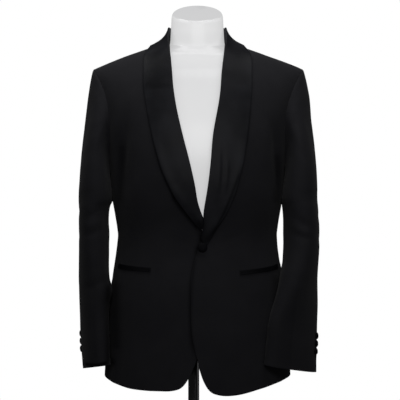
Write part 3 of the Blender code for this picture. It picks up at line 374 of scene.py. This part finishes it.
def crease_cloth(obj, group):
    """Press the creases, the skirt's waves and a slight unevenness into the cloth."""
    points = coordinates(obj.data)
    field = outward(group, points)
    height = np.zeros(len(points))
    for face, line, width, rise in CREASES[group]:
        axis, facing = FACES[face]
        flat = points[:, (axis, 2)]
        distance, place = along_line(flat, line)
        seen = ease(0.05, 0.45, field[:, 0] * facing[0] + field[:, 1] * facing[1])
        taper = np.sin(np.pi * np.clip(place * 0.94 + 0.03, 0, 1)) ** 0.8
        height += rise * seen * taper * np.exp(-(distance / width) ** 2)
    if group == "body":
        around = np.arctan2(points[:, 0] - CENTRE_X, CENTRE_Y - points[:, 1])
        skirt = 1 - ease(SKIRT_LOW, SKIRT_HIGH, points[:, 2])
        wave = np.sin(SKIRT_WAVES * around + SKIRT_TURN)
        height += SKIRT_WAVE * skirt * wave * ease(0.3, 0.8, np.abs(around))
    for rise, scale, seed in UNEVEN:
        height += rise * noise_at(points, scale, seed)
    set_coordinates(obj.data, points + field * height[:, None])


def shade_cloth(obj, marks, group):
    """Write how much painted shade each point gets, for the cloth's material."""
    points = coordinates(obj.data)
    field = outward(group, points)
    light = np.ones(len(points))
    for face, line, width, strength in SHADES[marks]:
        axis, facing = FACES[face]
        distance, place = along_line(points[:, (axis, 2)], line)
        seen = ease(0.0, 0.3, field[:, 0] * facing[0] + field[:, 1] * facing[1])
        taper = ease(0.0, 0.08, place) * (1 - ease(0.92, 1.0, place))
        light *= 1 - strength * seen * (0.3 + 0.7 * taper) * np.exp(-(distance / width) ** 2)
    values = obj.data.attributes.new("shade", "FLOAT", "POINT")
    values.data.foreach_set("value", 1 - light)


def pucker(obj, rim_points, group):
    """Small ripples where a seam gathers the cloth."""
    tree = kdtree.KDTree(len(rim_points))
    for i, point in enumerate(rim_points):
        tree.insert(point, i)
    tree.balance()
    points = coordinates(obj.data)
    distance = np.array([tree.find(p)[2] for p in points])
    field = outward(group, points)
    ripple = np.sin(points[:, 2] * PUCKER_RIPPLE + 3.0 * np.sin(points[:, 2] * PUCKER_DRIFT))
    height = PUCKER * np.exp(-(distance / PUCKER_REACH) ** 2) * ripple
    set_coordinates(obj.data, points + field * height[:, None])


def stretch_right_tip(obj):
    """Draw the right lapel's tip down under the left front's edge."""
    tip_low, tip_high = 0.528, 0.572         # heights that the pull fades between
    roll_from, roll_height, roll_slope = 0.002, 0.545, 0.19
    reach = 0.025                            # from the roll line to the outer edge
    down, back = 0.0205, 0.0016
    across, across_outer, across_inner = 0.0062, 0.0080, 0.0070
    points = coordinates(obj.data)
    tip = (1 - ease(tip_low, tip_high, points[:, 2])) * (points[:, 1] < 0)
    roll_x = roll_from - roll_slope * (points[:, 2] - roll_height)
    outer = ease(0.0, reach, roll_x - points[:, 0])
    move = across * tip + across_outer * tip * outer + across_inner * tip ** 3 * (1 - outer)
    points[:, 0] += move
    points[:, 2] -= down * tip
    points[:, 1] += back * tip
    set_coordinates(obj.data, points)


def stretch_left_tip(obj):
    """Draw the left lapel's tip down to the button."""
    tip_low, tip_high = 0.480, 0.510
    down, across = 0.0095, 0.0006
    points = coordinates(obj.data)
    tip = (1 - ease(tip_low, tip_high, points[:, 2])) * (points[:, 1] < 0)
    points[:, 2] -= down * tip
    points[:, 0] += across * tip
    set_coordinates(obj.data, points)


def nudge_left_edge(obj):
    """Move the left front's edge to the wearer's left at the roll line's start and low down."""
    roll_height, roll_reach, roll_move = 0.512, 0.022, 0.0038
    low_height, low_reach, low_move = 0.238, 0.012, 0.0016
    points = coordinates(obj.data)
    roll = np.exp(-((points[:, 2] - roll_height) / roll_reach) ** 2)
    roll = roll * (1 - ease(0.004, 0.045, points[:, 0])) * (points[:, 1] < 0)
    low = np.exp(-((points[:, 2] - low_height) / low_reach) ** 2)
    low = low * (1 - ease(0.0, 0.030, points[:, 0])) * (points[:, 1] < 0)
    points[:, 0] += roll_move * roll + low_move * low
    set_coordinates(obj.data, points)


def lift_lapel(obj, side):
    """The lapel's outer edge stands a little off the front."""
    points = coordinates(obj.data)
    distance, place = along_line(points[:, (0, 2)], LAPEL_EDGES[side])
    taper = np.sin(np.pi * (0.1 + 0.9 * place)) ** 0.5
    lift = LAPEL_LIFT * np.exp(-(distance / LAPEL_REACH) ** 2) * taper * (points[:, 1] < 0)
    set_coordinates(obj.data, points + outward("body", points) * lift[:, None])


def hug_neck(obj, side):
    """The top of the collar's fold leans in to the neck."""
    fold_low, fold_high, lean = 0.918, 0.940, 0.0022
    points = coordinates(obj.data)
    top = ease(fold_low, fold_high, points[:, 2]) * (1 - ease(0.03, 0.06, np.abs(points[:, 1])))
    points[:, 0] -= SIDES[side] * lean * top
    set_coordinates(obj.data, points)


def widen_left_shoulder(obj):
    """The left shoulder reaches a little further out than the right."""
    inner_x, outer_x, low, high, wider = 0.15, 0.21, 0.735, 0.80, 0.0042
    points = coordinates(obj.data)
    tip = ease(inner_x, outer_x, points[:, 0]) * ease(low, high, points[:, 2])
    points[:, 0] += wider * tip
    set_coordinates(obj.data, points)


def close_gap(obj, side, kind):
    """Body and sleeve touch above and below the gap at the waist."""
    gap_low = {"left": 0.428, "right": 0.392}[side]
    gap_high, armpit, hem = (0.545, 0.575), (0.655, 0.70), (0.24, 0.28)
    body_move, sleeve_move = 0.0010, 0.0014
    points = coordinates(obj.data)
    sign = SIDES[side]
    upper = ease(*gap_high, points[:, 2]) * (1 - ease(*armpit, points[:, 2]))
    lower = (1 - ease(gap_low - 0.006, gap_low + 0.012, points[:, 2])) * ease(*hem, points[:, 2])
    near = upper + lower
    if kind == "body":
        inner = ease(0.150, 0.178, sign * (points[:, 0] - CENTRE_X))
        points[:, 0] += sign * body_move * near * inner
    else:
        line = np.array(SLEEVE_LINE[side])
        middle = np.interp(points[:, 2], line[:, 0], line[:, 1])
        inner = ease(0.004, 0.022, sign * (middle - points[:, 0]))
        points[:, 0] -= sign * sleeve_move * near * inner
    set_coordinates(obj.data, points)


# materials ------------------------------------------------------------------------------------

class Look:
    """A material with short calls for adding nodes to it."""

    def __init__(self, name, **shader):
        self.material = bpy.data.materials.new(name)
        self.material.use_nodes = True
        self.tree = self.material.node_tree
        self.shader = self.tree.nodes["Principled BSDF"]
        for key, value in shader.items():
            self.shader.inputs[key.replace("_", " ")].default_value = value
        self.place = self.tree.nodes.new("ShaderNodeTexCoord").outputs["Object"]

    def add(self, kind, inputs=None, **settings):
        node = self.tree.nodes.new(kind)
        for key, value in settings.items():
            setattr(node, key, value)
        for key, value in (inputs or {}).items():
            if isinstance(value, bpy.types.NodeSocket):
                self.tree.links.new(value, node.inputs[key])
            else:
                node.inputs[key].default_value = value
        return node

    def mapped(self, scale, rotation=(0, 0, 0)):
        return self.add("ShaderNodeMapping", {
            "Vector": self.place, "Scale": scale, "Rotation": rotation}).outputs["Vector"]

    def noise(self, scale, detail=2.0, vector=None, roughness=0.5):
        return self.add("ShaderNodeTexNoise", {
            "Vector": vector or self.place, "Scale": scale, "Detail": detail,
            "Roughness": roughness}).outputs["Fac"]

    def wave(self, scale, vector=None, distortion=0.0):
        return self.add("ShaderNodeTexWave", {
            "Vector": vector or self.place, "Scale": scale, "Distortion": distortion,
            "Detail": 1.0}, bands_direction="X").outputs["Fac"]

    def math(self, operation, first, second):
        return self.add("ShaderNodeMath", {0: first, 1: second}, operation=operation).outputs[0]

    def spread(self, value, low, high):
        """The middle of a noise's range, 0.3 to 0.7, brought to low and high."""
        return self.add("ShaderNodeMapRange", {
            "Value": value, "From Min": 0.3, "From Max": 0.7, "To Min": low,
            "To Max": high}).outputs["Result"]

    def ramp(self, value, *stops):
        node = self.add("ShaderNodeValToRGB", {"Fac": value})
        elements = node.color_ramp.elements
        for element, (position, colour) in zip(elements, stops):
            element.position = position
            element.color = (*colour, 1.0)
        return node.outputs["Color"]

    def bump(self, height, strength, distance, before=None):
        inputs = {"Height": height, "Strength": strength, "Distance": distance}
        if before is not None:
            inputs["Normal"] = before
        return self.add("ShaderNodeBump", inputs).outputs["Normal"]

    def unshaded(self):
        # one less the painted shade written on the mesh
        shade = self.add("ShaderNodeAttribute", attribute_name="shade").outputs["Fac"]
        return self.math("SUBTRACT", 1.0, shade)

    def scaled(self, colour, factor):
        return self.add("ShaderNodeVectorMath", {0: colour, "Scale": factor},
                        operation="SCALE").outputs["Vector"]

    def feed(self, name, socket):
        self.tree.links.new(socket, self.shader.inputs[name])


TWILL_TURN = (math.radians(38), math.radians(-42), math.radians(24))
TWILL_SCALE = 350.0      # ribs 0.9 mm apart
WOOL_SHINE = 0.08
WOOL_SHEEN = 0.020
WOOL_DARK, WOOL_LIGHT = (0.0036, 0.0036, 0.0045), (0.0062, 0.0061, 0.0074)
SATIN = (0.0052, 0.0053, 0.0064)
# a darker copy of the lapels' satin for the pocket jets and the buttons: painted shade
SHADED_SATIN = (0.0012, 0.0012, 0.0017)
# the form's painted glow, and its base colour painted darker where it faces up
FORM_GLOW = 0.49
FORM_UPRIGHT, FORM_FACING_UP = (0.210, 0.210, 0.213), (0.066, 0.066, 0.068)
POLE_TONE, BASE_TONE = 0.055, 0.45


def wool_look():
    look = Look("black_wool", Sheen_Roughness=0.5)
    turned = look.mapped((1, 1, 1), TWILL_TURN)
    ribs = look.wave(TWILL_SCALE, turned, 1.2)
    yarns = look.wave(TWILL_SCALE * 1.7, look.mapped((1, 1, 1), (1.1, 0.4, -0.8)), 2.0)
    fuzz = look.noise(1500.0, 2.0)
    weave = look.math("ADD", look.math("MULTIPLY", ribs, 0.7),
                      look.math("ADD", look.math("MULTIPLY", yarns, 0.3),
                                look.math("MULTIPLY", fuzz, 0.5)))
    cloud = look.noise(14.0, 6.0, roughness=0.6)
    tone = look.math("ADD", look.math("MULTIPLY", cloud, 0.6),
                     look.math("MULTIPLY", weave, 0.25))
    dyed = look.ramp(tone, (0.25, WOOL_DARK), (0.75, WOOL_LIGHT))
    # painted shade dims the colour, the shine and the sheen
    lit = look.unshaded()
    look.feed("Base Color", look.scaled(dyed, lit))
    look.feed("Specular IOR Level", look.math("MULTIPLY", lit, WOOL_SHINE))
    look.feed("Sheen Weight", look.math("MULTIPLY", lit, WOOL_SHEEN))
    look.feed("Roughness", look.spread(look.noise(6.0, 3.0), 0.80, 0.94))
    soft = look.bump(look.noise(160.0, 3.0), 0.10, 0.0006)
    look.feed("Normal", look.bump(weave, 0.32, 0.00022, soft))
    return look.material


def satin_look(name, colour, roughness, specular):
    look = Look(name)
    threads = look.noise(1.0, 2.0, look.mapped((2400, 2400, 260)))
    drift = look.noise(22.0, 3.0)
    dark = tuple(0.75 * c for c in colour)
    light = tuple(1.25 * c for c in colour)
    dyed = look.ramp(drift, (0.30, dark), (0.70, light))
    # painted shade dims the colour and the shine
    lit = look.unshaded()
    look.feed("Base Color", look.scaled(dyed, lit))
    look.feed("Specular IOR Level", look.math("MULTIPLY", lit, specular))
    uneven = look.math("ADD", look.math("MULTIPLY", threads, 0.5),
                       look.math("MULTIPLY", drift, 0.5))
    look.feed("Roughness", look.spread(uneven, roughness - 0.05, roughness + 0.06))
    soft = look.bump(look.noise(38.0, 2.0), 0.22, 0.0012)
    look.feed("Normal", look.bump(threads, 0.18, 0.00012, soft))
    return look.material


def form_look():
    # the glow is painted light, standing in for soft light that would make the black cloth too
    # light, and the base colour is painted darker where it faces up, under the top light
    look = Look("white_gloss", Specular_IOR_Level=0.10, Emission_Strength=FORM_GLOW)
    # random blotches in the painted glow's colour
    glow_blotches = look.noise(5.0, 5.0, roughness=0.6)
    look.feed("Emission Color", look.ramp(glow_blotches, (0.32, (0.965, 0.970, 0.980)),
                                          (0.62, (1.0, 1.0, 1.0))))
    normal = look.add("ShaderNodeTexCoord").outputs["Normal"]
    upward = look.add("ShaderNodeSeparateXYZ", {"Vector": normal}).outputs["Z"]
    look.feed("Base Color", look.ramp(upward, (0.15, FORM_UPRIGHT), (0.80, FORM_FACING_UP)))
    look.feed("Roughness", look.spread(look.noise(9.0, 4.0), 0.19, 0.27))
    look.feed("Normal", look.bump(look.noise(260.0, 2.0), 0.04, 0.0004))
    return look.material


def steel_look(name, roughness, brushed, tone):
    look = Look(name, Metallic=1.0)
    look.shader.inputs["Base Color"].default_value = (tone, tone, 1.03 * tone, 1)
    if brushed:
        lines = look.noise(1.0, 3.0, look.mapped((60, 2600, 60)))
    else:
        lines = look.noise(1.0, 3.0, look.mapped((900, 900, 40)))
    look.feed("Roughness", look.spread(lines, roughness * 0.8, roughness * 1.35))
    look.feed("Normal", look.bump(lines, 0.10 if brushed else 0.03, 0.00008))
    return look.material


# pieces ---------------------------------------------------------------------------------------

def dress(obj, node, look, sharp=None):
    obj.data.materials.clear()
    obj.data.materials.append(look)
    obj.data.shade_smooth()
    if sharp:
        obj.data.set_sharp_from_angle(angle=math.radians(sharp))
    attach(obj, "root")
    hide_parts(node)
    return obj


def rim_points(obj, degrees=60):
    build = bmesh.new()
    build.from_mesh(obj.data)
    found = {vertex.index: tuple(vertex.co) for edge in build.edges
             if len(edge.link_faces) == 2 and edge.calc_face_angle() > math.radians(degrees)
             for vertex in edge.verts}
    build.free()
    return list(found.values())


def make_panel(piece, side, looks):
    node = f"{piece}_{side}"
    obj = quads_of(node, f"{node}_cloth")
    sleeve = piece in SLEEVE_PIECES
    group = f"sleeve_{side}" if sleeve else "body"
    crease_rims(obj, JOIN, ARMHOLE_JOIN if sleeve else 0.0)
    smooth(obj, FINE)
    if side == "left":
        widen_left_shoulder(obj)
    close_gap(obj, side, "sleeve" if sleeve else "body")
    if node == "front_left":
        nudge_left_edge(obj)
    rims = rim_points(obj)
    crease_cloth(obj, group)
    pucker(obj, rims, group)
    shade_cloth(obj, group, group)
    roll_edges(obj)
    return dress(obj, node, looks["wool"])


def make_collar(side, looks):
    node = f"shawl_collar_{side}"
    obj = quads_of(node, f"{node}_satin")
    crease_rims(obj, JOIN)
    smooth(obj, FINE)
    if side == "left":
        nudge_left_edge(obj)
        stretch_left_tip(obj)
    else:
        stretch_right_tip(obj)
    lift_lapel(obj, side)
    hug_neck(obj, side)
    crease_cloth(obj, "body")
    shade_cloth(obj, "lapel", "body")
    roll_edges(obj, COLLAR_ROLL)
    return dress(obj, node, looks["satin"])


def slim_jet(obj, place, side):
    """Press a jet towards the pocket's mouth and end it a little before the side."""
    points = coordinates(obj.data)
    turn = np.abs(np.arctan2(points[:, 0] - CENTRE_X, CENTRE_Y - points[:, 1]))
    along = (turn - turn.min()) / (turn.max() - turn.min())
    middle = [np.polyfit(along, points[:, axis], 3) for axis in range(3)]
    offset = points - np.stack([np.polyval(line, along) for line in middle], axis=1)
    mouth = {"upper": -1.0, "lower": 1.0}[place] * JET_WIDTH / 2
    offset[:, 2] = mouth + (offset[:, 2] - mouth) * JET_PRESSED
    start, end = JET_SPAN[side]
    moved = np.stack([np.polyval(line, start + along * (end - start)) for line in middle], axis=1)
    set_coordinates(obj.data, moved + offset)


def make_jets(side, looks):
    made = []
    for place in ("upper", "lower"):
        node = f"pocket_jet_{place}_{side}"
        obj = quads_of(node, f"{node}_satin")
        crease_rims(obj)
        smooth(obj, FINE)
        slim_jet(obj, place, side)
        crease_cloth(obj, "body")
        roll_edges(obj, JET_ROLL)
        made.append(dress(obj, node, looks["jet"]))
    return made


def make_button(node, group, looks):
    obj = quads_of(node, f"{node}_cover")
    smooth(obj, PLAIN_FINE)
    points = coordinates(obj.data)
    middle = points.mean(axis=0, keepdims=True)
    holder = bpy.data.meshes.new("probe")
    holder.from_pydata([tuple(middle[0])], [], [])
    probe = bpy.data.objects.new("probe", holder)
    crease_cloth(probe, group)
    shifted = coordinates(holder)
    bpy.data.objects.remove(probe)
    set_coordinates(obj.data, points + shifted - middle)
    return dress(obj, node, looks["button"])


looks = {
    "wool": wool_look(),
    "satin": satin_look("black_satin", SATIN, 0.45, 0.040),
    "jet": satin_look("jet_satin", SHADED_SATIN, 0.62, 0.05),
    "button": satin_look("button_satin", SHADED_SATIN, 0.66, 0.03),
}
for side in SIDES:
    for piece in BODY_PIECES + SLEEVE_PIECES:
        make_panel(piece, side, looks)
    make_collar(side, looks)
    for place, made in zip(("upper", "lower"), make_jets(side, looks)):
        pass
    for number in (1, 2, 3):
        make_button(f"cuff_button_{side}_{number}", f"sleeve_{side}", looks)
make_button("front_button", "body", looks)

for name, (width, length, area) in CUTS.items():
    piece, side = name.rsplit("_", 1)
    if piece in SLEEVE_PIECES:
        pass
    elif piece in BODY_PIECES:
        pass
    else:
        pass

torso = quads_of("form_torso", "torso_shell")
crease_rims(torso)
smooth(torso, PLAIN_FINE)
dress(torso, "form_torso", form_look(), sharp=40)
for node, look in (("form_pole", steel_look("polished_steel", 0.10, False, POLE_TONE)),
                   ("form_base", steel_look("brushed_steel", 0.28, True, BASE_TONE))):
    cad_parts[node].data.materials.clear()
    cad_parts[node].data.materials.append(look)


# stage ----------------------------------------------------------------------------------------

FLOOR_RADIUS, FLOOR_TONE = 0.90, 0.20
WORLD_LIGHT = 0.078      # the camera itself sees a white world
CAMERA_PLACE, CAMERA_LENS, CAMERA_SENSOR = (0.0022, -3.0, 0.57), 124.4, 36.0

# each light's place, what it is aimed at, its size and its power in watts
LIGHTS = {
    "key": ((0.07, -1.55, 1.12), (0.0, 0.0, 0.92), (1.2, 0.5), 15.5),
    "top": ((-0.03, -0.27, 1.80), (0.0, 0.0, 0.85), (1.4, 0.5), 21.0),
    # two low strips for the pole to mirror
    "strip": ((1.00, -1.10, 0.02), (0.0, 0.0, 0.20), (0.40, 0.35), 0.36),
    "far_strip": ((1.50, 0.25, 0.00), (0.0, 0.0, 0.20), (0.50, 0.35), 0.48),
}


def add_floor():
    bpy.ops.mesh.primitive_circle_add(vertices=128, radius=FLOOR_RADIUS, fill_type="NGON")
    floor = bpy.context.object
    floor.name = "floor"
    look = Look("pale_floor", Roughness=0.75)
    look.shader.inputs["Base Color"].default_value = (FLOOR_TONE, FLOOR_TONE, FLOOR_TONE, 1)
    floor.data.materials.append(look.material)


def add_light(name, place, target, size, power):
    data = bpy.data.lights.new(name, "AREA")
    data.shape = "RECTANGLE"
    data.size, data.size_y = size
    data.energy = power
    light = bpy.data.objects.new(name, data)
    bpy.context.scene.collection.objects.link(light)
    light.location = place
    light.rotation_euler = (Vector(target) - Vector(place)).to_track_quat("-Z", "Y").to_euler()


def add_world():
    world = bpy.data.worlds.new("studio")
    bpy.context.scene.world = world
    world.use_nodes = True
    tree = world.node_tree
    backdrop = tree.nodes["Background"]
    backdrop.inputs["Color"].default_value = (1, 1, 1, 1)
    backdrop.inputs["Strength"].default_value = 1.0
    lighting = tree.nodes.new("ShaderNodeBackground")
    lighting.inputs["Color"].default_value = (0.98, 0.99, 1.0, 1)
    lighting.inputs["Strength"].default_value = WORLD_LIGHT
    mix = tree.nodes.new("ShaderNodeMixShader")
    path = tree.nodes.new("ShaderNodeLightPath")
    tree.links.new(path.outputs["Is Camera Ray"], mix.inputs["Fac"])
    tree.links.new(lighting.outputs["Background"], mix.inputs[1])
    tree.links.new(backdrop.outputs["Background"], mix.inputs[2])
    tree.links.new(mix.outputs["Shader"], tree.nodes["World Output"].inputs["Surface"])


def add_camera():
    data = bpy.data.cameras.new("camera")
    data.sensor_width = CAMERA_SENSOR
    data.lens = CAMERA_LENS
    camera = bpy.data.objects.new("camera", data)
    bpy.context.scene.collection.objects.link(camera)
    camera.location = CAMERA_PLACE
    camera.rotation_euler = (math.radians(90), 0.0, 0.0)
    bpy.context.scene.camera = camera


add_floor()
add_world()
add_camera()
for name, settings in LIGHTS.items():
    add_light(name, *settings)

view = bpy.context.scene.view_settings
view.view_transform = "Standard"
view.look = "None"
